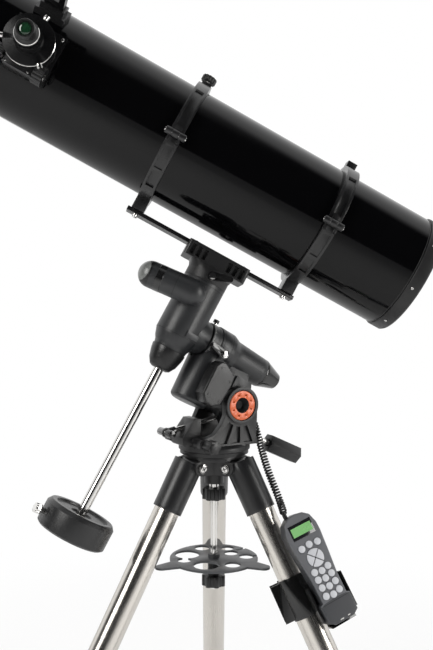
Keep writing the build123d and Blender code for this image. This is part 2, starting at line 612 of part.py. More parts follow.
fasteners = []
for tag, mid in zip(("front", "rear"), RING_AT):
    z0, z1 = mid - RING_W / 2, mid + RING_W / 2
    band = ring_band(z0, z1)
    upper = upper_ring(band, mid, z0, z1, has_knob=tag == "front")
    ear_bolt = cyl_x(3.0, 4, 33, EAR_Y, mid) + lobed_x((37.5, EAR_Y, mid), 11, 6, 7.5)
    save("ring_%s_lower" % tag, at(TUBE_FRAME, lower_ring(band, mid, z0, z1)))
    save("ring_%s_upper" % tag, at(TUBE_FRAME, upper), at(TUBE_FRAME, ear_bolt))
    fasteners.append(at(TUBE_FRAME, cyl(3.45, mid - 21.5, mid + 21.5, *HINGE)))
    for y in BAR_SCREW_Y:
        screw = cyl_x(5, BAR_LOW - 4, BAR_LOW - 0.02, y, mid)
        screw = screw + cyl_x(BAR_SCREW_R, BAR_LOW - 1, BAR_HIGH, y, mid)
        fasteners.append(at(TUBE_FRAME, screw))
save("ring_fasteners", *fasteners)

# ---------------------------------------------------------------- optical tube
save("main_tube", at(TUBE_FRAME, ring(TUBE_R, TUBE_IN, TUBE_REAR, TUBE_FRONT)
                     - at(FOCUSER_FRAME, cyl(33, 60, 140))))

# (radius, z)
CELL_RIM = [(108, -362), (118.5, -362), (120.5, -359), (120.5, -337), (119.5, TUBE_REAR - GAP),
            (115.4, TUBE_REAR - GAP), (115.4, -316), (108, -316)]
FRONT_RIM = [(106, 600), (117.5, 600), (119.5, 598), (119.5, TUBE_FRONT + GAP),
             (115.4, TUBE_FRONT + GAP), (115.4, 574), (112.5, 574), (112.5, 594), (106, 597)]
back = ring(109, 22, -361, -356)
for i in range(3):
    back -= cyl(26, -365, -350, *polar(68, 120 * i + 30))
    back += cyl(12, -366, -353, *polar(80, 120 * i + 90))
save("rear_cell", at(TUBE_FRAME, rev(CELL_RIM) + back))

glass = cyl(MIRROR_R, -350, -325)
glass -= Pos(0, 0, -327.6 + MIRROR_CURVE) * Sphere(MIRROR_CURVE)
save("primary_mirror", at(TUBE_FRAME, glass))
save("front_ring", at(TUBE_FRAME, rev(FRONT_RIM)))

spider = cyl(15, 505, 530) + cyl(6, 490, 505)
for i in range(4):
    spider += Rot(0, 0, 45 + 90 * i + FOC_ANG) * box(12, TUBE_IN - GAP, -0.6, 0.6, 506, 528)
save("spider_vanes", at(TUBE_FRAME, spider))

# the flat's face looks at the focuser and the main mirror; its holder lies behind it
flat_normal = (FOCUSER_FRAME.z_dir * 1.0 - Vector(0, 0, 1)).normalized()
flat_frame = Plane(origin=(0, 0, FOC_AT), z_dir=flat_normal)
stalk = cyl(27, 440, 489.9)
flat_zone = at(flat_frame, Pos(0, 0, -3) * Box(300, 300, 6))
holder_zone = at(flat_frame, Pos(0, 0, -103.05) * Box(300, 300, 194))
save("secondary_mirror", at(TUBE_FRAME, stalk & flat_zone), at(TUBE_FRAME, stalk & holder_zone))

# ---------------------------------------------------------------- focuser
DRAW_R = 29
EYE_BORE_R = 16
PINION_R = 6
PINION = (41, 144)                                     # (y, z)
# (x, y)
FOOT = [(-48, -46), (46, -46), (46, 44), (30, 52), (-48, 52)]
HOUSING = [(-28, 26), (28, 26), (28, 52), (-28, 52)]
# (radius, z)
TOWER = [(0, 119.5), (44, 119.5), (41, 150), (41, 157), (0, 157)]
EYEPIECE = [(0, 172), (15.9, 172), (15.9, 186.1), (20, 186.1), (21, 189), (21, 197),
            (21.8, 197.6), (21.8, 204), (20.5, 205.5), (17.5, 210), (17, 225), (15.5, 228.5),
            (13.5, 228.5), (11, 223), (0, 223)]


def save_focuser(node, shape):
    save(node, at(TUBE_FRAME, at(FOCUSER_FRAME, shape)))


tube_room = cyl_x(TUBE_R + 0.1, -200, 200)
body = prism_z(FOOT, 100, 125)
body -= tube_room
body += rev(TOWER) - tube_room
body += prism_z(HOUSING, 122, 155)
body -= cyl(DRAW_R + GAP, 90, 160)
body -= cyl_x(PINION_R + GAP, -60, 60, *PINION)
body -= cyl_x(19.5, 29.5, 60, 41, 145) + cyl_x(19.5, -60, -29.5, 41, 145)
save_focuser("focuser_body", body)

drawtube = (ring(DRAW_R, 25.5, 112, 162) + ring(45, EYE_BORE_R + GAP, 162, 171)
            + ring(26, EYE_BORE_R + GAP, 171, 186))
for i in range(3):
    drawtube += at(radial_plane(120 * i + 20, 166.5), cyl(5, 44, 53))
save_focuser("focuser_drawtube", drawtube)

pinion = cyl_x(PINION_R, -50, 50, *PINION)
for side in (-1, 1):
    pinion += lobed_x((side * 39.5, *PINION), 18, 14, 9.5)
save_focuser("focuser_knobs", pinion)
save_focuser("eyepiece", rev(EYEPIECE))

# ---------------------------------------------------------------- finder scope
FIND_BORE_R = 31
# (x, z)
STEM = [(139, 466), (139, 504), (192, 500), (192, 470)]
# (radius, z)
SCOPE = [(0, 424), (10, 424), (15, 420), (17, 420), (17, 452), (20, 456), (20, 470), (29, 482),
         (29, 596), (33, 604), (33, 640), (28, 640), (28, 625), (0, 625)]
bracket = box(100, 129, -19, 19, 456, 514) - cyl(TUBE_R + 0.1, 440, 530)
bracket += box(128, 140, -13, 13, 462, 508)
bracket += prism_y(STEM, -7, 7)
bracket += ring(38, FIND_BORE_R, 468, 502, FIND_R, 0)
bracket -= box(150, 178, -10, 10, 478, 492)
bracket = bracket - cyl(FIND_BORE_R, 460, 510, FIND_R, 0)
for angle in (60, 180, 300):
    # the screw on the stem side is short and has no head
    screw = cyl(3, 29.1, 36) if angle == 180 else cyl(3, 29.1, 46) + cyl(6, 42, 50)
    bracket += at(radial_plane(angle, 485, FIND_R), screw)
save("finder_bracket", at(TUBE_FRAME, at(FINDER_FRAME, bracket)))
save("finder_scope", at(TUBE_FRAME, at(FINDER_FRAME, Pos(FIND_R, 0, 0) * rev(SCOPE))))

# ---------------------------------------------------------------- hand control on leg 2
CONTROL_DOWN = 238.8                                   # centre down the leg
CONTROL_SIDE, CONTROL_OUT = 40.6, 46.0                 # along and square to its face
CONTROL_TURN, CONTROL_ROLL = 41.0, 1.7
DIAL_Y = 20
leg2 = leg_plane(LEG_AZ[1])
face_dir = leg2.y_dir * cosd(CONTROL_TURN) - leg2.x_dir * sind(CONTROL_TURN)
level_dir = leg2.y_dir * sind(CONTROL_TURN) + leg2.x_dir * cosd(CONTROL_TURN)
width_dir = level_dir * cosd(CONTROL_ROLL) - leg2.z_dir * sind(CONTROL_ROLL)
control_at = (leg2.origin + leg2.z_dir * CONTROL_DOWN + level_dir * CONTROL_SIDE
              + face_dir * CONTROL_OUT)
CONTROL_FRAME = Plane(origin=control_at, x_dir=width_dir, z_dir=face_dir)  # y up along the leg

# (x, y)
CONTROL = [(-20, -103), (20, -103), (32, -96), (33, -63), (26.5, -59.5), (27, -20), (31, 20),
           (34.5, 62), (34, 78), (28, 96), (16, 105), (0, 108), (-16, 105), (-28, 96), (-34, 78),
           (-34.5, 62), (-31, 20), (-27, -20), (-26.5, -59.5), (-33, -63), (-32, -96)]
# (x, y, radius) of the round keys: one row above the dial, four below
key_places = [(x, 46.5 - (2.0 if x else 0), 6.6) for x in (-17.5, 0, 17.5)]
key_places += [(x, row_y + (3.0 if x else 0), 6.5)
               for row_y in (-6.2, -21.0, -36.6, -53.0) for x in (-15.0, 0, 15.0)]

control = prism_z(CONTROL, -14, 14)
control = soften(control, control.faces().sort_by(Axis.Z)[-1].edges(), 2.5)
control -= box(-25, 25, 62, 91, 12.8, 20)              # shallow window near the top
keys = []
for x, y, key_r in key_places:
    control -= cyl(key_r + 0.25, 9.5, 30, x, y)
    keys.append(cyl(key_r, 11.0, 15.8, x, y))
control -= cyl(17.1, 9.5, 30, 0, DIAL_Y)
for i in range(4):
    quarter = Pos(0, DIAL_Y, 0) * Rot(0, 0, 45 + 90 * i) * box(0.9, 30, 0.9, 30, 9, 20)
    keys.append(cyl(16.8, 11.0, 15.6, 0, DIAL_Y) & quarter)
save("hand_control_body", at(CONTROL_FRAME, control))
save("hand_control_keys", *[at(CONTROL_FRAME, key) for key in keys])

CLIP_START, CLIP_END = 234.0, 312.0                    # along the leg
MOUTH = -123.0                                         # the clip opens to the inside of the leg
clip = ring(31.0, LEG_R + GAP, CLIP_START, CLIP_END)
clip -= Rot(0, 0, MOUTH) * box(15, 60, -14, 14, CLIP_START - 5, CLIP_END + 5)
for side in (-1, 1):
    lip = box(21, 45, *on_side(side, 13.5, 18), CLIP_START + 3, CLIP_END - 3)
    clip += Rot(0, 0, MOUTH) * (lip - cyl(28, CLIP_START - 9, CLIP_END + 9))
cradle = box(-36, 36, -92, -18, -19.5, -15)
cradle += box(-38.5, -34.5, -92, -24, -19.5, 3) + box(34.5, 38.5, -92, -24, -19.5, 3)
cradle += box(-26, 26, -108, -104, -19.5, 4) + box(-26, 26, -108, -88, -19.5, -15)
cradle += box(-36, -12, -88, -22, -42, -18)
holder = at(leg2, clip) + at(CONTROL_FRAME, cradle)
holder = holder - at(leg2, cyl(LEG_R + GAP, 100, 400))
save("hand_control_holder", largest(holder))

# cord from the mount to the hand control, as one plain closed run
cord_end = control_at - leg2.z_dir * 111.5 - width_dir * 16 - face_dir * 4
path = Spline(Vector(66, -40, 828), Vector(75.3, -45, 793.8), Vector(75, -80, 734.5),
              Vector(81, -112, 681.5), cord_end)
save("coiled_cord", sweep(Plane(origin=path @ 0, z_dir=path % 0) * Circle(4.5), path=path))
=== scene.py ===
"""Looks of a Newtonian reflector telescope on an equatorial mount and tripod. World: metres, +Z up.

Sizes are in millimetres, in local frames built on the object's own axes. The polar axis rises
towards -X, the tube's open end points towards -X and +Y, the focuser faces the camera (-X, -Y).
"""
import math
import bpy
import numpy as np
from mathutils import Matrix, Vector

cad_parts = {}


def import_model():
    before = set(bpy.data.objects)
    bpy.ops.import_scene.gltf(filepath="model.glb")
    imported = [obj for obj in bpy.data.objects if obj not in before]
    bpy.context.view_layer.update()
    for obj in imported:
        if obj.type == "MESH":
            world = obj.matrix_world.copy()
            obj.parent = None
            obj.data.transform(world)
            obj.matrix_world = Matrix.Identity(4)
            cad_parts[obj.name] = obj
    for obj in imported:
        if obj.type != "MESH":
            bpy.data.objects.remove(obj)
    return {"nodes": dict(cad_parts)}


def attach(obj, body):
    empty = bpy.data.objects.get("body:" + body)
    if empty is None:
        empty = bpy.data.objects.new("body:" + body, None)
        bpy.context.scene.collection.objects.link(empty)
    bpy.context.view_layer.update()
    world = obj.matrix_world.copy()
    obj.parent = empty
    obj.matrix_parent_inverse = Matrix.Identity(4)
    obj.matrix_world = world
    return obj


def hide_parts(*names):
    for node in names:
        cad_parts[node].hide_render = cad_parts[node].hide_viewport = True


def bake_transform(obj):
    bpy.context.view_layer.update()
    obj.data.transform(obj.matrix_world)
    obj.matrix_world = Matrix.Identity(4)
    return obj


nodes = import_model()["nodes"]
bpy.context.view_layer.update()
MM = 0.001
rad = math.radians

# ------------------------------------------------------------------ driving dimensions
OFFSET = Vector((27.336, 0, 0))     # from the middle of the footprint box to the model origin
LATITUDE, HOUR_ANGLE, DECLINATION = 28.3, -6.1, -21.75     # degrees
ALTITUDE_X, ALTITUDE_Z = 25.8, 861.1                       # altitude pivot, runs along Y
AXES_RISE, AXES_ALONG = 86.9, 162.05    # pivot to crossing of the axes: across, along polar axis
TUBE_RISE = 309.2                       # crossing of the axes to the tube centre
FOCUSER_ALONG = 478.6                   # tube centre to the focuser, along the tube
FOCUSER_ANGLE, FINDER_ANGLE = -93.4, -50.0                 # degrees round the tube
LEG_AZIMUTHS = {1: 180.0, 2: -60.0, 3: 60.0}
LEG_SPLAY = 28.43                       # degrees from vertical
HINGE_RADIUS, HINGE_HEIGHT, HINGE_HALF_WIDTH = 48, 739, 43.5
LEG_OUTSET = 11.7                       # hinge to the leg's centre line
T_BOLT_SLOPE, REAR_BOLT_SLOPE = 11.2, 24.6                 # degrees
HOLDER_TURN, HOLDER_TILT = 41, 1.7      # degrees, hand control against leg 2


# ------------------------------------------------------------------ local frames
def local_frame(origin, x_axis, z_axis):
    """Matrix from local millimetres to world metres."""
    y_axis = z_axis.cross(x_axis)
    turn = Matrix((x_axis, y_axis, z_axis)).transposed().to_4x4()
    return Matrix.Translation((origin + OFFSET) * MM) @ turn @ Matrix.Scale(MM, 4)


def around(radius, degrees, z=0.0):
    """Point at an angle round local z."""
    return (radius * math.cos(rad(degrees)), radius * math.sin(rad(degrees)), z)


def leg_axes(azimuth):
    """Hinge point, then the axes across, square to (outwards) and down the leg."""
    cos_splay, sin_splay = math.cos(rad(LEG_SPLAY)), math.sin(rad(LEG_SPLAY))
    return (Vector(around(HINGE_RADIUS, azimuth, HINGE_HEIGHT)),
            Vector((-math.sin(rad(azimuth)), math.cos(rad(azimuth)), 0)),
            Vector(around(cos_splay, azimuth, sin_splay)),
            Vector(around(sin_splay, azimuth, -cos_splay)))


polar_axis = Vector((-math.cos(rad(LATITUDE)), 0, math.sin(rad(LATITUDE))))
polar_up = Vector((math.sin(rad(LATITUDE)), 0, math.cos(rad(LATITUDE))))
dec_axis = polar_up * math.cos(rad(HOUR_ANGLE)) + Vector((0, 1, 0)) * math.sin(rad(HOUR_ANGLE))
tube_axis = (polar_axis * math.cos(rad(DECLINATION))
             + dec_axis.cross(polar_axis) * math.sin(rad(DECLINATION)))
tube_side = tube_axis.cross(dec_axis)
crossing = Vector((ALTITUDE_X, 0, ALTITUDE_Z)) + polar_up * AXES_RISE + polar_axis * AXES_ALONG
tube_centre = crossing + dec_axis * TUBE_RISE


def off_tube(degrees):
    """Direction square to the tube, at an angle from the declination axis."""
    return dec_axis * math.cos(rad(degrees)) + tube_side * math.sin(rad(degrees))


WORLD = local_frame(Vector((0, 0, 0)), Vector((1, 0, 0)), Vector((0, 0, 1)))
POLAR = local_frame(crossing, polar_up, polar_axis)
DEC = local_frame(crossing, polar_axis, dec_axis)
SADDLE = local_frame(crossing, tube_axis, dec_axis)
TUBE = local_frame(tube_centre, dec_axis, tube_axis)
FOCUSER = local_frame(tube_centre + tube_axis * FOCUSER_ALONG, tube_axis, off_tube(FOCUSER_ANGLE))
FINDER = local_frame(tube_centre, off_tube(FINDER_ANGLE), tube_axis)
T_BOLT = local_frame(Vector((-70, 0, 816.0)), Vector((0, 1, 0)),
                     Vector((math.cos(rad(T_BOLT_SLOPE)), 0, math.sin(rad(T_BOLT_SLOPE)))))
REAR_BOLT = local_frame(Vector((94.7, 0, 784.1)), Vector((0, 1, 0)),
                        Vector((-math.cos(rad(REAR_BOLT_SLOPE)), 0,
                                math.sin(rad(REAR_BOLT_SLOPE)))))
LEGS = {k: leg_axes(azimuth) for k, azimuth in LEG_AZIMUTHS.items()}
LEG_FRAMES = {k: local_frame(hinge + outward * LEG_OUTSET, across, down)
              for k, (hinge, across, outward, down) in LEGS.items()}

# The hand control hangs beside leg 2: its x is hand_across, its z faces out of the keys.
hinge_2, across_2, outward_2, down_2 = LEGS[2]
hand_normal = outward_2 * math.cos(rad(HOLDER_TURN)) - across_2 * math.sin(rad(HOLDER_TURN))
hand_level = outward_2 * math.sin(rad(HOLDER_TURN)) + across_2 * math.cos(rad(HOLDER_TURN))
hand_across = hand_level * math.cos(rad(HOLDER_TILT)) - down_2 * math.sin(rad(HOLDER_TILT))
hand_origin = (hinge_2 + outward_2 * LEG_OUTSET + down_2 * 238.8 + hand_level * 40.6
               + hand_normal * 46.0)
HAND = local_frame(hand_origin, hand_across, hand_normal)


# ------------------------------------------------------------------ materials
def fill(tree, node, inputs):
    """Give each input a value, or link it when the value is an output socket."""
    for key, value in inputs.items():
        if isinstance(value, bpy.types.NodeSocket):
            tree.links.new(value, node.inputs[key])
        else:
            node.inputs[key].default_value = value


def add_node(tree, kind, inputs=None, **settings):
    node = tree.nodes.new("ShaderNode" + kind)
    for key, value in settings.items():
        setattr(node, key, value)
    fill(tree, node, inputs or {})
    return node


def drawn_out(tree, point, axis):
    """Texture point squeezed along an axis, which draws the grain out along it."""
    axis = Vector(axis).normalized()
    along = add_node(tree, "VectorMath", {0: point, 1: axis}, operation="DOT_PRODUCT")
    part = add_node(tree, "VectorMath", {0: axis * 0.985, "Scale": along.outputs["Value"]},
                    operation="SCALE")
    rest = add_node(tree, "VectorMath", {0: point, 1: part.outputs["Vector"]},
                    operation="SUBTRACT")
    return rest.outputs["Vector"]


def worn_edges(tree, base, color, wear):
    """Lighten the base colour on convex edges."""
    geometry = add_node(tree, "NewGeometry")
    edge = add_node(tree, "MapRange", {"Value": geometry.outputs["Pointiness"],
                                       "From Min": 0.52, "From Max": 0.62})
    amount = add_node(tree, "Math", {0: edge.outputs["Result"], 1: wear}, operation="MULTIPLY")
    bare = color * 2.2 + Vector((0.03, 0.03, 0.03))
    mix = add_node(tree, "Mix", {"Factor": amount.outputs[0], "A": base, "B": (*bare, 1)},
                   data_type="RGBA")
    return mix.outputs["Result"]


def surface(name, color, rough=0.4, rough_spread=0.12, metal=0.0, specular=0.5, coat=0.0,
            coat_rough=0.05, aniso=0.0, spread=0.25, light_color=None, mottling=14.0,
            grain=1500.0, grain_axis=None, bump=0.15, bump_depth=0.0002, wear=0.0):
    """Coarse noise (mottling) and fine noise (grain) drive colour and roughness, grain the bump.

    spread is the colour change either way; light_color replaces the lighter end of it.
    """
    material = bpy.data.materials.new(name)
    material.use_nodes = True
    tree = material.node_tree
    shader = tree.nodes["Principled BSDF"]
    fill(tree, shader, {"Metallic": metal, "IOR": 1.5, "Coat Weight": coat,
                        "Coat Roughness": coat_rough, "Specular IOR Level": specular,
                        "Anisotropic": aniso})
    point = add_node(tree, "TexCoord").outputs["Object"]
    coarse = add_node(tree, "TexNoise", {"Scale": mottling, "Detail": 4, "Vector": point})
    if grain_axis is not None:
        point = drawn_out(tree, point, grain_axis)
    fine = add_node(tree, "TexNoise", {"Scale": grain, "Detail": 3, "Vector": point})

    color = Vector(color)
    light = Vector(light_color) if light_color else color * (1 + spread)
    mix = add_node(tree, "Mix", {"A": (*(color * (1 - spread)), 1), "B": (*light, 1)},
                   data_type="RGBA")
    tone = add_node(tree, "Math", {0: coarse.outputs["Fac"], 1: 0.5}, operation="MULTIPLY_ADD")
    half_fine = add_node(tree, "Math", {0: fine.outputs["Fac"], 1: 0.5}, operation="MULTIPLY")
    fill(tree, tone, {2: half_fine.outputs[0]})
    fill(tree, mix, {"Factor": tone.outputs[0]})
    base = mix.outputs["Result"]
    if wear:
        base = worn_edges(tree, base, color, wear)
    roughness = add_node(tree, "MapRange", {
        "Value": tone.outputs[0], "From Min": 0.3, "From Max": 0.7,
        "To Min": max(0.01, rough - rough_spread), "To Max": min(1.0, rough + rough_spread)})
    fill(tree, shader, {"Base Color": base, "Roughness": roughness.outputs["Result"]})
    if bump:
        relief = add_node(tree, "Bump", {"Strength": bump, "Distance": bump_depth,
                                         "Height": fine.outputs["Fac"]})
        fill(tree, shader, {"Normal": relief.outputs["Normal"]})
    return material


GLOSS = surface("gloss_black_paint", color=(0.0015, 0.0015, 0.0018), rough=0.09,
                rough_spread=0.03, grain=900.0, bump=0.02, specular=0.26, spread=0.2)
INSIDE = surface("flat_black_inside", color=(0.012, 0.012, 0.012), rough=0.85, grain=1800,
                 bump=0.3)
TRAY = surface("tray_grey", color=(0.05, 0.052, 0.056), grain=1600, bump=0.3,
               bump_depth=0.0003, coat=0.1, coat_rough=0.3, wear=0.2)
TEXTURED = surface("textured_black_paint", color=(0.0065, 0.0065, 0.0068), rough=0.42,
                   grain=1700, bump=0.45, bump_depth=0.0003, wear=0.25)
CHARCOAL = surface("charcoal_paint", color=(0.017, 0.018, 0.0195), grain=2400, bump=0.22,
                   coat=0.15, coat_rough=0.3, wear=0.25, spread=0.18)
CAST = surface("cast_black", color=(0.0075, 0.0075, 0.008), bump=0.35, bump_depth=0.0003,
               wear=0.35)
RING = surface("ring_black", color=(0.0055, 0.0055, 0.006), rough=0.3, grain=2200, coat=0.2,
               coat_rough=0.2, wear=0.4)
ANODISED = surface("black_anodised", color=(0.005, 0.005, 0.0055), rough=0.27, grain=2600,
                   bump=0.08, metal=0.25, wear=0.35)
PLASTIC = surface("black_plastic", color=(0.006, 0.006, 0.0063), rough=0.34, grain=1900,
                  bump=0.2, wear=0.3)
GLOSS_PLASTIC = surface("gloss_black_plastic", color=(0.004, 0.004, 0.0042), rough=0.14,
                        rough_spread=0.05, grain=1200, bump=0.03, coat=0.4, coat_rough=0.08,
                        wear=0.2)
IRON = surface("iron_grey_paint", color=(0.011, 0.0113, 0.012), rough=0.37, grain=1300,
               bump=0.3, bump_depth=0.0003, coat=0.15, coat_rough=0.25, wear=0.3)
COLLAR = surface("collar_paint", color=(0.0105, 0.0108, 0.0115), rough=0.36, grain=1700,
                 bump=0.2, coat=0.15, coat_rough=0.25, wear=0.2)
ORANGE = surface("orange_anodised", color=(0.62, 0.098, 0.012), rough=0.36, metal=0.1,
                 grain=2200, bump=0.06, spread=0.08, coat=0.3, coat_rough=0.15)
CHROME = surface("chromed_steel", color=(0.8, 0.79, 0.77), rough=0.09, rough_spread=0.04,
                 metal=1, grain=900, bump=0.02, spread=0.06)
CHROMED_BAR = surface("chromed_bar", color=(0.74, 0.73, 0.71), rough=0.13, rough_spread=0.05,
                      metal=1, bump=0.05, spread=0.1, grain_axis=dec_axis, aniso=0.3)
GREY = surface("grey_plastic", color=(0.115, 0.118, 0.128), rough=0.42, grain=2600, spread=0.08)
DARK_GREY = surface("dark_grey_plastic", color=(0.05, 0.052, 0.057), rough=0.36, grain=2400,
                    bump=0.12, spread=0.1)
KEYS = surface("key_grey", color=(0.56, 0.57, 0.6), rough=0.45, grain=1600, bump=0.1,
               spread=0.06)
RUBBER = surface("dark_rubber", color=(0.006, 0.006, 0.006), rough=0.38, grain=1400, bump=0.2)
FOOT_RUBBER = surface("foot_rubber", color=(0.013, 0.013, 0.013), rough=0.62, grain=1300,
                      bump=0.35)
MIRROR = surface("mirror_glass", color=(0.92, 0.93, 0.95), rough=0.015, rough_spread=0.005,
                 metal=1, bump=0.0, spread=0.02)
LENS = surface("coated_lens", color=(0.004, 0.02, 0.009), rough=0.02, rough_spread=0.01,
               coat=1.0, coat_rough=0.01, bump=0.0, light_color=(0.01, 0.05, 0.02),
               specular=0.8)
WHITE = surface("white_mark", color=(0.62, 0.62, 0.6), rough=0.5, grain=900, bump=0.05)
# dark seam, joint and engraved lines and stud bases; also painted shade in screw recesses and in
# the altitude caps' bores
SEAM_AND_SHADE = surface("seam_and_shade_black", color=(0.003, 0.003, 0.003), rough=0.7, grain=900, bump=0.1)
BEZEL = surface("bezel_black", color=(0.012, 0.0125, 0.014), rough=0.16, rough_spread=0.04,
                bump=0.03, coat=0.5)
PALE_CAP = surface("pale_cap_grey", color=(0.16, 0.165, 0.16), rough=0.32, bump=0.1, coat=0.3)
STAINLESS = {k: surface("stainless_%d" % k, color=(0.69, 0.66, 0.615), rough=0.23,
                        rough_spread=0.07, metal=1, grain=900, bump=0.06, spread=0.12,
                        grain_axis=down, aniso=0.45, mottling=5)
             for k, (_, _, _, down) in LEGS.items()}
LCD = surface("green_lcd", color=(0.19, 0.43, 0.16), rough=0.3, grain=500, bump=0.0, spread=0.05)
fill(LCD.node_tree, LCD.node_tree.nodes["Principled BSDF"],
     {"Emission Color": (0.2, 0.5, 0.17, 1), "Emission Strength": 0.12})


# ------------------------------------------------------------------ painting the CAD nodes
def face_data(mesh, frame):
    """Face centres and normals in a local frame."""
    centre = np.zeros(len(mesh.polygons) * 3)
    normal = np.zeros(len(mesh.polygons) * 3)
    mesh.polygons.foreach_get("center", centre)
    mesh.polygons.foreach_get("normal", normal)
    inverse = np.array(frame.inverted())
    centre = centre.reshape(-1, 3) @ inverse[:3, :3].T + inverse[:3, 3]
    return centre, normal.reshape(-1, 3) @ np.array(frame.to_3x3().normalized())


def paint(node, materials, frame=None, rule=None):
    """The rule gives one face mask per material after the first; the first true mask wins."""
    mesh = nodes[node].data
    mesh.materials.clear()
    for material in materials:
        mesh.materials.append(material)
    index = np.zeros(len(mesh.polygons), np.int32)
    if rule is not None:
        centre, normal = face_data(mesh, frame)
        masks = rule(*centre.T, normal)
        index = np.select(masks, list(range(1, len(masks) + 1))).astype(np.int32)
    mesh.polygons.foreach_set("material_index", index)


dist = np.hypot
PLAIN = (
    (CAST, "tripod_head azimuth_base saddle"),
    (PLASTIC, "mount_clamp_knob tray_knob control_panel_cover"),
    (TRAY, "accessory_tray"),
    (CHARCOAL, "ra_housing ra_motor_cover dec_housing"),
    (GLOSS_PLASTIC, "polar_scope_cap hand_control_holder"),
    (IRON, "counterweight"),
    (CHROME, "counterweight_screw bar_safety_cap ring_fasteners leg_hinge_bolts"),
    (ANODISED, "dovetail_bar spider_vanes focuser_body finder_bracket"),
    (RING, "ring_front_lower ring_rear_lower"),
    (KEYS, "hand_control_keys"),
    (COLLAR, "leg_1_collar leg_2_collar leg_3_collar"),
)
for material, names in PLAIN:
    for name in names.split():
        paint(name, [material])

# Optical tube: black on the faces towards the inside, glass on the front of each mirror.
paint("main_tube", [GLOSS, INSIDE], TUBE, lambda x, y, z, n: [n[:, 0] * x + n[:, 1] * y < 0])
paint("primary_mirror", [INSIDE, MIRROR], TUBE, lambda x, y, z, n: [n[:, 2] > 0.8])
paint("secondary_mirror", [INSIDE, MIRROR], FOCUSER,
      lambda x, y, z, n: [(n[:, 2] > 0.6) & (n[:, 0] < -0.5)])
paint("rear_cell", [TEXTURED, INSIDE, CAST], TUBE,
      lambda x, y, z, n: [(dist(x, y) < 114) & (z > -354)])
paint("front_ring", [TEXTURED, INSIDE], TUBE, lambda x, y, z, n: [dist(x, y) < 113.5])

# Tripod: plastic end of each upper tube, rubber foot, chromed shaft of each knob.
for k, frame in LEG_FRAMES.items():
    paint("leg_%d_tube" % k, [STAINLESS[k], PLASTIC], frame,
          lambda x, y, z, n: [(z > 734) & ((dist(x, y) > 25.8) | (z > 760.5))])
    paint("leg_%d_extension" % k, [STAINLESS[k], FOOT_RUBBER], frame,
          lambda x, y, z, n: [(z > 811) & (dist(x, y) > 20.9)])
    paint("leg_%d_lock_knob" % k, [PLASTIC, CHROME], frame,
          lambda x, y, z, n: [(dist(x, z - 768) < 4.3) & (y < 38.4)])
paint("centre_rod", [CHROME, PLASTIC])

# Mount: chromed shafts of the knobs and bolts, bolt ends of the clutch levers.
paint("azimuth_knobs", [PLASTIC, CHROME], WORLD,
      lambda x, y, z, n: [(dist(x + 54, z - 789) < 4.3) & (np.abs(y) < 71.4)])
paint("latitude_t_bolt", [GLOSS_PLASTIC, CHROME], T_BOLT, lambda x, y, z, n: [z > -18.5])
paint("latitude_rear_bolt", [PLASTIC, CHROME], REAR_BOLT, lambda x, y, z, n: [z > -29.5])
# painted shade: a dark disc stands for the shade in the bore within the orange cap, cast body
# between the caps
paint("altitude_caps", [ORANGE, SEAM_AND_SHADE, CAST], WORLD, lambda x, y, z, n: [
    (dist(x - ALTITUDE_X, z - ALTITUDE_Z) < 15.3) & (np.abs(y) > 50), np.abs(y) < 60.9])
# small screw standing off the circle on its +x side: shaft, then head
paint("ra_setting_circle", [CHARCOAL, CHROME, PLASTIC], POLAR, lambda x, y, z, n: [
    (x > 37.6) & (x < 41.9) & (np.abs(y) < 6.5), (x > 37.6) & (np.abs(y) < 6.5)])
paint("ra_clutch_lever", [GLOSS_PLASTIC, CHROME], POLAR,
      lambda x, y, z, n: [(y < -50.0) & (dist(x + 14, z + 87) < 6.6)])
paint("dec_clutch_lever", [GLOSS_PLASTIC, CHROME], SADDLE,
      lambda x, y, z, n: [(y > 52.9) & (dist(x + 4, z - 109) < 6.6)])
# plastic band, then the pale cap at the +x end
paint("dec_motor_cover", [CHARCOAL, PLASTIC, PALE_CAP], DEC,
      lambda x, y, z, n: [(x > 106) & (x <= 124), x > 124])
paint("counterweight_bar", [CHROMED_BAR, PLASTIC], DEC,
      lambda x, y, z, n: [(z > -93.5) & (dist(x, y) > 10.01)])
paint("saddle_clamp_knob", [PLASTIC, CHROME], SADDLE, lambda x, y, z, n: [y > -39.9])

# Tube rings: chromed screw shafts, then plastic knobs at the side and on top of the front ring.
paint("ring_front_upper", [RING, CHROME, PLASTIC], TUBE, lambda x, y, z, n: [
    ((x > 140.1) & (x < 143.7) & (np.abs(y) < 5)) | ((y > 127) & (dist(y - 138, z - 181.5) < 3.3)),
    (x > 143.7) | ((x > 29.9) & (y > 126))])
paint("ring_rear_upper", [RING, CHROME, PLASTIC], TUBE, lambda x, y, z, n: [
    (y > 127) & (dist(y - 138, z + 150.2) < 3.3), (x > 29.9) & (y > 126) & (dist(x, y) > 131)])

# Focuser, eyepiece and finder: chromed rings and shafts, rubber eye cup, black bores.
paint("focuser_drawtube", [ANODISED, CHROME], FOCUSER, lambda x, y, z, n: [
    ((dist(x, y) > 45.1) & (z > 160)) | ((z < 161.9) & (dist(x, y) > 28.5))])
paint("focuser_knobs", [PLASTIC, CHROME], FOCUSER,
      lambda x, y, z, n: [dist(y - 41, z - 144) < 6.3])
paint("eyepiece", [ANODISED, CHROME, RUBBER], FOCUSER, lambda x, y, z, n: [
    ((dist(x, y) < 16.2) & (z < 187)) | ((z > 197.2) & (z < 204.6) & (dist(x, y) > 21)), z > 205])
FINDER_X = 225                          # finder's optical axis in its frame
paint("finder_scope", [GLOSS, INSIDE], FINDER, lambda x, y, z, n: [
    ((dist(x - FINDER_X, y) < 28.3) & (z > 606)) | ((dist(x - FINDER_X, y) < 15.2) & (z < 426))])
# darker grey below the joint line and on the back shell
paint("hand_control_body", [GREY, DARK_GREY, RUBBER], HAND,
      lambda x, y, z, n: [(y < -66) | (z < 9.5)])


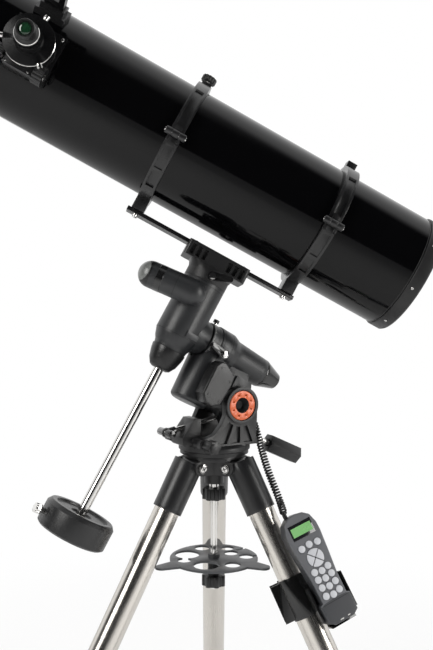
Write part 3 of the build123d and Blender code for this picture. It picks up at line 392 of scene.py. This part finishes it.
# ------------------------------------------------------------------ smoothing and bevels
def finish_mesh(obj, bevel=0.0):
    mesh = obj.data
    mesh.polygons.foreach_set("use_smooth", np.ones(len(mesh.polygons), bool))
    weld = obj.modifiers.new("weld", "WELD")
    weld.merge_threshold = 0.00001
    if bevel:
        rounding = obj.modifiers.new("bevel", "BEVEL")
        rounding.width = bevel * MM
        rounding.segments = 2
        rounding.limit_method = "ANGLE"
        rounding.angle_limit = rad(38)
        rounding.use_clamp_overlap = True
        rounding.miter_outer = "MITER_SHARP"
    split = obj.modifiers.new("split", "EDGE_SPLIT")
    split.split_angle = rad(32)
    mesh.update()


BEVELS = {      # bevel width: nodes that get it; the others stay sharp
    0.3: "altitude_caps",
    0.4: "ra_motor_cover ring_front_lower ring_rear_lower ring_front_upper ring_rear_upper"
         " focuser_drawtube",
    0.5: "control_panel_cover accessory_tray dovetail_bar focuser_body rear_cell"
         " hand_control_keys counterweight_screw polar_scope_cap",
    0.6: "counterweight hand_control_holder latitude_t_bolt ra_clutch_lever dec_clutch_lever",
    0.7: "leg_hinge_bolts",
    0.8: "azimuth_base ra_housing saddle tripod_head mount_clamp_knob tray_knob azimuth_knobs"
         " saddle_clamp_knob",
    0.9: "leg_1_collar leg_2_collar leg_3_collar",
    1.0: "dec_housing",
    1.2: "latitude_rear_bolt",
}
node_bevel = {name: width for width, names in BEVELS.items() for name in names.split()}
for name, obj in nodes.items():
    if name != "coiled_cord":
        finish_mesh(obj, node_bevel.get(name, 0.0))


# ------------------------------------------------------------------ shape tools
class Shape:
    """Vertices, faces and material slots; `at` places each addition in the piece's frame."""

    def __init__(self):
        self.verts, self.faces, self.slots = [], [], []

    def add(self, verts, faces, mat=0, at=None):
        start = len(self.verts)
        for point in verts:
            point = Vector(point)
            self.verts.append(tuple(at @ point) if at is not None else tuple(point))
        for face in faces:
            self.faces.append([i + start for i in face])
            self.slots.append(mat)

    def lathe(self, profile, segments, mat=0, at=None):
        """Closed profile of (radius, z) points turned round z."""
        verts, faces = [], []
        count = len(profile)
        for i in range(segments):
            angle = 2 * math.pi * i / segments
            verts += [(r * math.cos(angle), r * math.sin(angle), z) for r, z in profile]
        for i in range(segments):
            j = (i + 1) % segments
            for k in range(count):
                m = (k + 1) % count
                faces.append([i * count + k, j * count + k, j * count + m, i * count + m])
        self.add(verts, faces, mat, at)

    def band(self, inner, outer, low, high, segments, slope=0.0, mat=0, at=None):
        """Ring whose ends slope in z by `slope` from the inner to the outer radius."""
        self.lathe([(inner, low), (outer, low + slope), (outer, high - slope), (inner, high)],
                   segments, mat, at)

    def seam(self, inner, outer, z):
        """Thin ring line."""
        self.band(inner, outer, z - 0.35, z + 0.35, 96)

    def dome(self, radius, height, z, segments, at=None):
        """Lens cap on a flat at z, bulging down where height is negative."""
        profile = [(0.001 + radius * math.sin(rad(a)), z + height * math.cos(rad(a)))
                   for a in range(0, 91, 9)]
        if height < 0:
            profile.reverse()
        self.lathe(profile + [(0.001, z)], segments, at=at)

    def disc(self, radius, low, high, segments=32, mat=0, at=None, chamfer=0.0):
        """Solid cylinder, chamfered at its high end."""
        verts, faces = [], []
        rings = [(radius, low), (radius, high - chamfer)]
        if chamfer:
            rings.append((radius - chamfer, high))
        for r, z in rings:
            for i in range(segments):
                angle = 2 * math.pi * i / segments
                verts.append((r * math.cos(angle), r * math.sin(angle), z))
        for k in range(len(rings) - 1):
            here, above = k * segments, (k + 1) * segments
            for i in range(segments):
                j = (i + 1) % segments
                faces.append([here + i, here + j, above + j, above + i])
        faces.append(list(range(segments))[::-1])
        faces.append([(len(rings) - 1) * segments + i for i in range(segments)])
        self.add(verts, faces, mat, at)

    def box(self, x0, x1, y0, y1, z0, z1, mat=0, at=None):
        verts = [(x, y, z) for x in (x0, x1) for y in (y0, y1) for z in (z0, z1)]
        faces = [[0, 1, 3, 2], [4, 6, 7, 5], [0, 4, 5, 1], [2, 3, 7, 6], [0, 2, 6, 4], [1, 5, 7, 3]]
        self.add(verts, faces, mat, at)

    def cross(self, arm, half_width, low, high, at):
        """Two dark crossed bars that paint the shade in a screw's cross recess, one 0.01 higher so
        that the tops do not fight.
        """
        self.box(-arm, arm, -half_width, half_width, low, high, 1, at)
        self.box(-half_width, half_width, -arm, arm, low, high + 0.01, 1, at)

    def screw(self, place, direction, radius, height, spin=0.0):
        """Round head with a cross recess, its shade painted as dark bars."""
        at = facing(place, direction, spin)
        self.disc(radius, -0.6, height, 24, 0, at, chamfer=radius * 0.22)
        self.cross(radius * 0.55, radius * 0.13, height - 0.2, height + 0.04, at)

    def hex_screw(self, place, direction, radius, height):
        """Round head with a hexagonal recess, its shade painted as a dark hexagon."""
        at = facing(place, direction)
        self.disc(radius, -0.5, height, 32, 0, at, chamfer=0.5)
        self.disc(radius * 0.55, height - 0.3, height + 0.04, 6, 1, at)

    def wire(self, path, radius, segments):
        """Round wire swept along a path, with capped ends."""
        verts, faces = [], []
        side = None
        for i, point in enumerate(path):
            tangent = (path[min(i + 1, len(path) - 1)] - path[max(i - 1, 0)]).normalized()
            if side is None:
                side = tangent.orthogonal().normalized()
            else:
                side = (side - tangent * side.dot(tangent)).normalized()
            other = tangent.cross(side)
            for k in range(segments):
                angle = 2 * math.pi * k / segments
                verts.append(tuple(point + side * (radius * math.cos(angle))
                                   + other * (radius * math.sin(angle))))
        for i in range(len(path) - 1):
            here, ahead = i * segments, (i + 1) * segments
            for k in range(segments):
                m = (k + 1) % segments
                faces.append([here + k, here + m, ahead + m, ahead + k])
        faces.append(list(range(segments))[::-1])
        faces.append([(len(path) - 1) * segments + k for k in range(segments)])
        self.add(verts, faces)


def facing(place, direction, spin=0.0):
    """Local matrix at a place whose z points along direction."""
    turn = Vector(direction).normalized().to_track_quat("Z", "Y").to_matrix().to_4x4()
    return Matrix.Translation(place) @ turn @ Matrix.Rotation(spin, 4, "Z")


def piece(name, shape, frame, materials, body, bevel=0.0):
    """Make an object of the shape; body is the CAD body that it rides on, if any."""
    mesh = bpy.data.meshes.new(name)
    mesh.from_pydata([tuple(frame @ Vector(v)) for v in shape.verts], [], shape.faces)
    for material in materials:
        mesh.materials.append(material)
    mesh.polygons.foreach_set("material_index", np.array(shape.slots, np.int32))
    mesh.validate()
    mesh.update()
    obj = bpy.data.objects.new(name, mesh)
    bpy.context.scene.collection.objects.link(obj)
    finish_mesh(obj, bevel)
    if body:
        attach(obj, body)
    return obj


# ------------------------------------------------------------------ detail pieces
def hinge_bolt_faces():
    """Cross recess, its shade painted as dark bars, and washer line on both ends of each leg hinge
    bolt.
    """
    shape = Shape()
    for hinge, across, _, _ in LEGS.values():
        for side in (-1, 1):
            at = facing(hinge + across * (side * HINGE_HALF_WIDTH), across * side, 0.4)
            shape.disc(6.4, -0.5, 1.4, 32, 0, at, chamfer=1.0)
            shape.cross(4.2, 0.9, 1.0, 1.46, at)
            shape.band(7.0, 8.6, -0.3, 0.25, 40, mat=1, at=at)
    piece("hinge_bolt_faces", shape, WORLD, [CHROME, SEAM_AND_SHADE], "tripod_head")


def cell_screws():
    """Screws round both tube ends, then three two-step studs and three screws at the rear."""
    rear = (0, 0, -1)
    shape = Shape()
    for i in range(8):
        angle = 22.5 + 45 * i
        outward = around(1, angle)
        shape.screw(around(120.4, angle, -346), outward, 2.6, 1.2, spin=i * 0.7)
        shape.screw(around(119.3, angle, 594.6), outward, 2.2, 0.9, spin=i * 0.9)
    for i in range(3):
        at = facing(around(80, 120 * i + 90, -368), rear)
        shape.disc(7.5, -2.5, 2.0, 32, 1, at, chamfer=1.2)
        shape.disc(4.2, 1.5, 4.5, 24, 0, at, chamfer=0.8)
        shape.screw(around(92, 120 * i + 102, -361.4), rear, 4.0, 2.4)
    piece("cell_screws", shape, TUBE, [CHROME, SEAM_AND_SHADE], "tube")


def tube_end_beads():
    """Raised bead near each end of the tube."""
    shape = Shape()
    shape.band(117.3, 118.3, -333.4, -331.8, 128, slope=0.2)
    shape.band(117.3, 118.2, 587.0, 588.6, 128, slope=0.2)
    piece("tube_end_beads", shape, TUBE, [TEXTURED], "tube")


def focuser_screws():
    """Four base screws, two small ones and the drawtube's silver band."""
    shape = Shape()
    for x, y in ((-41, -39), (39, -39), (-41, 45), (39, 38)):
        shape.screw((x, y, 125.0), (0, 0, 1), 3.2, 1.6, spin=0.5)
    for x in (-22, 22):
        shape.screw((x, 48, 155.0), (0, 0, 1), 2.2, 1.2)
    shape.band(45.05, 45.7, 163.2, 164.8, 96, slope=0.4)
    piece("focuser_screws", shape, FOCUSER, [CHROME, SEAM_AND_SHADE], "tube")


def eyepiece_details():
    shape = Shape()
    shape.band(21.7, 22.15, 198.2, 203.4, 72, slope=0.6)
    piece("eyepiece_silver_ring", shape, FOCUSER, [CHROME], "eyepiece")
    shape = Shape()
    shape.dome(11.2, 3.2, 223.05, 48)
    piece("eyepiece_lens", shape, FOCUSER, [LENS], "eyepiece")


def finder_details():
    """Front and rear glass, then a rubber grip round each end."""
    axis = Matrix.Translation((FINDER_X, 0, 0))
    shape = Shape()
    shape.dome(27.6, 4.5, 625.1, 64, axis)
    shape.dome(9.6, -2.4, 423.9, 48, axis)
    piece("finder_lenses", shape, FINDER, [LENS], "tube")
    shape = Shape()
    shape.band(33.0, 33.6, 606, 613, 72, slope=1, at=axis)
    shape.band(17.0, 17.7, 430, 448.6, 64, slope=0.6, at=axis)
    piece("finder_grips", shape, FINDER, [RUBBER], "tube")


def setting_circle():
    """Division marks every 5 degrees, open round +x, and three engraved ring lines."""
    top = -57.4
    shape = Shape()
    for i in range(3, 70):
        length = 4.5 if i % 6 == 0 else (3.2 if i % 3 == 0 else 2.0)
        at = Matrix.Rotation(2 * math.pi * i / 72, 4, "Z") @ Matrix.Translation((37.5, 0, 0))
        shape.box(-0.05, 0.08, -0.28, 0.28, top - length, top, 0, at)
    piece("setting_circle_marks", shape, POLAR, [WHITE], "ra_circle")
    shape = Shape()
    for z in (-69.0, -71.2, -73.4):
        shape.seam(37.4, 37.56, z)
    piece("setting_circle_lines", shape, POLAR, [SEAM_AND_SHADE], "ra_circle")


def housing_seams():
    """Shadow lines round the housings and bands round the pod on the declination housing."""
    for name, radius, heights, frame, body in (
            ("dec_housing_seams", 43.3, (90.5, -19.5), DEC, "dec_body"),
            ("ra_housing_seams", 39.3, (-104.0, -84.0), POLAR, "ra_body")):
        shape = Shape()
        for z in heights:
            shape.seam(radius, radius + 0.28, z)
        piece(name, shape, frame, [SEAM_AND_SHADE], body)
    pod_start, pod_end = Vector((34, 46, 63)), Vector((108, 4, 57))
    shape = Shape()
    shape.band(25.8, 26.45, 60, 73.8, 72, slope=0.8)
    shape.band(25.9, 26.2, 33.6, 34.6, 72, slope=0.2, mat=1)
    piece("pod_band", shape, DEC @ facing(pod_start, pod_end - pod_start),
          [GLOSS_PLASTIC, SEAM_AND_SHADE], "dec_body")


def mount_screws():
    shape = Shape()
    for x, z in ((-44, -80), (-100, -76), (-104, -104), (-60, -109)):
        shape.screw((x, -74.0, z), (0, -1, 0), 2.4, 0.5)
    piece("panel_screws", shape, POLAR, [PLASTIC, SEAM_AND_SHADE], "ra_body")
    shape = Shape()
    for x in (-52, 52):
        shape.hex_screw((x, 30.0, 157.7), (0, 0, 1), 3.0, 0.8)
    for x in (-58, 58):
        shape.hex_screw((x, -34.0, 142), (0, -1, 0), 3.6, 2.0)
    piece("saddle_screws", shape, SADDLE, [CHROME, SEAM_AND_SHADE], "saddle_body")


def hand_control_details():
    """Bezel, screen, joint line and two white marks."""
    shape = Shape()
    shape.box(-24.8, 24.8, 62.2, 90.8, 12.9, 14.35)
    piece("hand_control_bezel", shape, HAND, [BEZEL], "hand_control",
          bevel=0.5)
    shape = Shape()
    shape.box(-21.6, 21.6, 68.0, 85.0, 14.3, 14.5)
    piece("hand_control_screen", shape, HAND, [LCD], "hand_control")
    shape = Shape()
    shape.box(-30.5, 30.5, -64.4, -63.6, 13.2, 14.08)
    shape.box(-9.0, -2.0, -99.6, -97.6, 13.4, 14.15, 1)
    shape.box(8.0, 13.0, -99.0, -97.0, 13.4, 14.15, 1)
    piece("hand_control_trim", shape, HAND, [SEAM_AND_SHADE, WHITE], "hand_control")


for build in (hinge_bolt_faces, cell_screws, tube_end_beads, focuser_screws, eyepiece_details,
              finder_details, setting_circle, housing_seams, mount_screws,
              hand_control_details):
    build()

# ------------------------------------------------------------------ coiled cord
COIL_PITCH, COIL_RADIUS, WIRE_RADIUS = 5.8, 5.7, 2.0
COIL_TAPER = 10.0       # length at each end over which the coil opens out
cord_start = Vector((66, -40, 828))
cord_end = hand_origin - down_2 * 111.5 - hand_across * 16 - hand_normal * 4
CORD_POINTS = [cord_start, Vector((75.3, -45, 793.8)), Vector((75, -80, 734.5)),
               Vector((81, -112, 681.5)), cord_end]
CORD_RUNS = (           # start and end as shares of the length, and the bodies joined
    (0.0, 0.16, "azimuth", "tripod_head"),
    (0.16, 0.30, "tripod_head", "leg_2"),
    (0.30, 1.0, "leg_2", "hand_control"),
)


def smooth_path(control, steps):
    """Catmull-Rom curve through the control points."""
    points = [control[0] * 2 - control[1]] + control + [control[-1] * 2 - control[-2]]
    path = []
    spans = len(control) - 1
    for i in range(steps + 1):
        t = i / steps * spans
        k = min(int(t), spans - 1)
        t -= k
        p0, p1, p2, p3 = points[k:k + 4]
        path.append(((p1 * 2) + (p2 - p0) * t + (p0 * 2 - p1 * 5 + p2 * 4 - p3) * t * t
                     + (p1 * 3 - p0 - p2 * 3 + p3) * t ** 3) * 0.5)
    return path


cord_line = smooth_path(CORD_POINTS, 400)
lengths = [0.0]
for here, ahead in zip(cord_line, cord_line[1:]):
    lengths.append(lengths[-1] + (ahead - here).length)
cord_length = lengths[-1]


def on_cord(along):
    """Point and direction of the cord's centre line at a length along it."""
    i = min(max(int(np.searchsorted(lengths, along)) - 1, 0), len(cord_line) - 2)
    share = (along - lengths[i]) / max(lengths[i + 1] - lengths[i], 1e-9)
    here, ahead = cord_line[i], cord_line[i + 1]
    return here.lerp(ahead, share), (ahead - here).normalized()


def coil(start, end):
    points = []
    count = int((end - start) / COIL_PITCH * 18)
    for i in range(count + 1):
        along = start + (end - start) * i / count
        centre, tangent = on_cord(along)
        side = tangent.cross(Vector((1, 0.3, 0))).normalized()
        other = tangent.cross(side)
        angle = 2 * math.pi * along / COIL_PITCH
        opening = max(0.15, min(1.0, along / COIL_TAPER, (cord_length - along) / COIL_TAPER))
        points.append(centre + side * (COIL_RADIUS * opening * math.cos(angle))
                      + other * (COIL_RADIUS * opening * math.sin(angle)))
    return points


for i, (start, end, first_body, second_body) in enumerate(CORD_RUNS):
    start, end = start * cord_length, end * cord_length
    shape = Shape()
    shape.wire(coil(start, end), WIRE_RADIUS, 8)
    run = piece("coiled_cord_run_%d" % (i + 1), shape, WORLD, [RUBBER], None)
    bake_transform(run)
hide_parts("coiled_cord")

shape = Shape()
shape.disc(4.2, -9, 6, 24, at=facing(cord_end + down_2 * 2, down_2), chamfer=1.0)
piece("cord_strain_relief", shape, WORLD, [RUBBER], "hand_control")
shape = Shape()
shape.disc(4.6, -3, 12, 24, at=facing(cord_start, (-0.5, 0.2, 0.6)), chamfer=1.0)
piece("cord_plug", shape, WORLD, [PLASTIC], "azimuth")

# ------------------------------------------------------------------ stage, light, camera
CAMERA_PLACE = Vector((-835.34, -1450.61, 1088.97)) * MM
CAMERA_RIGHT = Vector((0.86590, -0.50021, 0.00373))
CAMERA_UP = Vector((0.01848, 0.03944, 0.99905))
CAMERA_VIEW = Vector((0.49988, 0.86501, -0.04339))
FLOOR_HALF = 14.0       # metres
scene = bpy.context.scene


def floor_material():
    """Pale floor: glows to the camera, more so far out, and is dimmed a little in reflections."""
    material = bpy.data.materials.new("pale_floor")
    material.use_nodes = True
    tree = material.node_tree
    shader = tree.nodes["Principled BSDF"]
    noise = add_node(tree, "TexNoise", {"Scale": 3.0})
    pale = add_node(tree, "Mix", {"A": (0.86, 0.86, 0.86, 1), "B": (0.9, 0.9, 0.9, 1),
                                  "Factor": noise.outputs["Fac"]}, data_type="RGBA")
    fill(tree, shader, {"Base Color": pale.outputs["Result"], "Roughness": 0.6})
    glow = add_node(tree, "Emission", {"Color": (1, 1, 1, 1)})
    ray = add_node(tree, "LightPath")
    point = add_node(tree, "TexCoord")
    distance = add_node(tree, "VectorMath", {0: point.outputs["Object"]}, operation="LENGTH")
    far = add_node(tree, "MapRange", {"Value": distance.outputs["Value"], "From Min": 0.5,
                                      "From Max": 1.9, "To Min": 0.45, "To Max": 1.0},
                   interpolation_type="SMOOTHSTEP")
    seen = add_node(tree, "Math", {0: ray.outputs["Is Camera Ray"], 1: far.outputs["Result"]},
                    operation="MULTIPLY")
    reflected = add_node(tree, "Math", {0: ray.outputs["Is Glossy Ray"], 1: 0.1},
                         operation="MULTIPLY")
    dark = add_node(tree, "BsdfDiffuse", {"Color": (0.01, 0.01, 0.01, 1)})
    dimmed = add_node(tree, "MixShader", {"Fac": reflected.outputs[0], 1: shader.outputs["BSDF"],
                                          2: dark.outputs["BSDF"]})
    final = add_node(tree, "MixShader", {"Fac": seen.outputs[0], 1: dimmed.outputs["Shader"],
                                         2: glow.outputs["Emission"]})
    fill(tree, tree.nodes["Material Output"], {"Surface": final.outputs["Shader"]})
    return material


def floor():
    material = floor_material()
    mesh = bpy.data.meshes.new("floor")
    corners = ((-1, -1), (1, -1), (1, 1), (-1, 1))
    mesh.from_pydata([(x * FLOOR_HALF, y * FLOOR_HALF, 0) for x, y in corners], [],
                     [[0, 1, 2, 3]])
    mesh.materials.append(material)
    obj = bpy.data.objects.new("floor", mesh)
    obj.location = OFFSET * MM
    scene.collection.objects.link(obj)


def studio():
    """World: white to the camera, behind the object and overhead; dark on the camera's side."""
    to_camera = Vector((-CAMERA_VIEW.x, -CAMERA_VIEW.y, 0.0)).normalized()
    world = bpy.data.worlds.new("studio")
    scene.world = world
    world.use_nodes = True
    tree = world.node_tree
    ray_way = add_node(tree, "TexCoord").outputs["Generated"]
    facing_camera = add_node(tree, "VectorMath", {0: ray_way, 1: to_camera},
                             operation="DOT_PRODUCT")
    front = add_node(tree, "MapRange", {"Value": facing_camera.outputs["Value"],
                                        "From Min": -0.22, "From Max": 0.12},
                     interpolation_type="SMOOTHSTEP")
    parts = add_node(tree, "SeparateXYZ", {0: ray_way})
    below_top = add_node(tree, "MapRange", {"Value": parts.outputs["Z"], "From Min": 0.80,
                                            "From Max": 1.05, "To Min": 1.0, "To Max": 0.0},
                         interpolation_type="SMOOTHSTEP")
    darkness = add_node(tree, "Math", {0: front.outputs["Result"],
                                       1: below_top.outputs["Result"]}, operation="MULTIPLY")
    room = add_node(tree, "Mix", {"Factor": darkness.outputs[0], "A": (1.0, 1.0, 1.0, 1),
                                  "B": (0.015, 0.015, 0.016, 1)}, data_type="RGBA")
    ray = add_node(tree, "LightPath")
    color = add_node(tree, "Mix", {"Factor": ray.outputs["Is Camera Ray"],
                                   "A": room.outputs["Result"], "B": (1.0, 1.0, 1.0, 1)},
                     data_type="RGBA")
    fill(tree, tree.nodes["Background"], {"Color": color.outputs["Result"], "Strength": 1.0})


def area_light(name, place, target, width, height, power, color=(1, 1, 1)):
    """Rectangular light aimed at a target; places in metres, power in watts."""
    light = bpy.data.lights.new(name, "AREA")
    light.shape = "RECTANGLE"
    light.size, light.size_y = width, height
    light.energy = power
    light.color = color
    obj = bpy.data.objects.new(name, light)
    obj.location = Vector(place) + OFFSET * MM
    aim = Vector(target) - Vector(place)
    obj.rotation_euler = aim.to_track_quat("-Z", "Y").to_euler()
    scene.collection.objects.link(obj)
    return obj


def camera():
    data = bpy.data.cameras.new("photo_camera")
    data.lens = 46.51
    data.sensor_width = 36
    data.sensor_fit = "AUTO"
    data.shift_x = 0.00083077
    data.clip_start = 0.05
    obj = bpy.data.objects.new("photo_camera", data)
    turn = Matrix((CAMERA_RIGHT, CAMERA_UP, -CAMERA_VIEW)).transposed().to_4x4()
    obj.matrix_world = Matrix.Translation(CAMERA_PLACE + OFFSET * MM) @ turn
    scene.collection.objects.link(obj)
    scene.camera = obj


floor()
studio()
WARM = (1.0, 0.99, 0.97)
area_light("key_left", place=(-3.2, -0.9, 2.6), target=(0, 0, 0.9), width=1.6, height=2.4,
           power=75, color=WARM)
area_light("key_right", place=(1.7, -2.7, 1.3), target=(0, 0, 0.95), width=1.0, height=2.0,
           power=46, color=WARM)
top_light = area_light("top", place=(0.2, 0.0, 4.2), target=(0, 0, 0.9), width=3.0, height=3.0,
                       power=60)
top_light.visible_glossy = False
camera()
scene.view_settings.view_transform = "Standard"
scene.view_settings.look = "None"
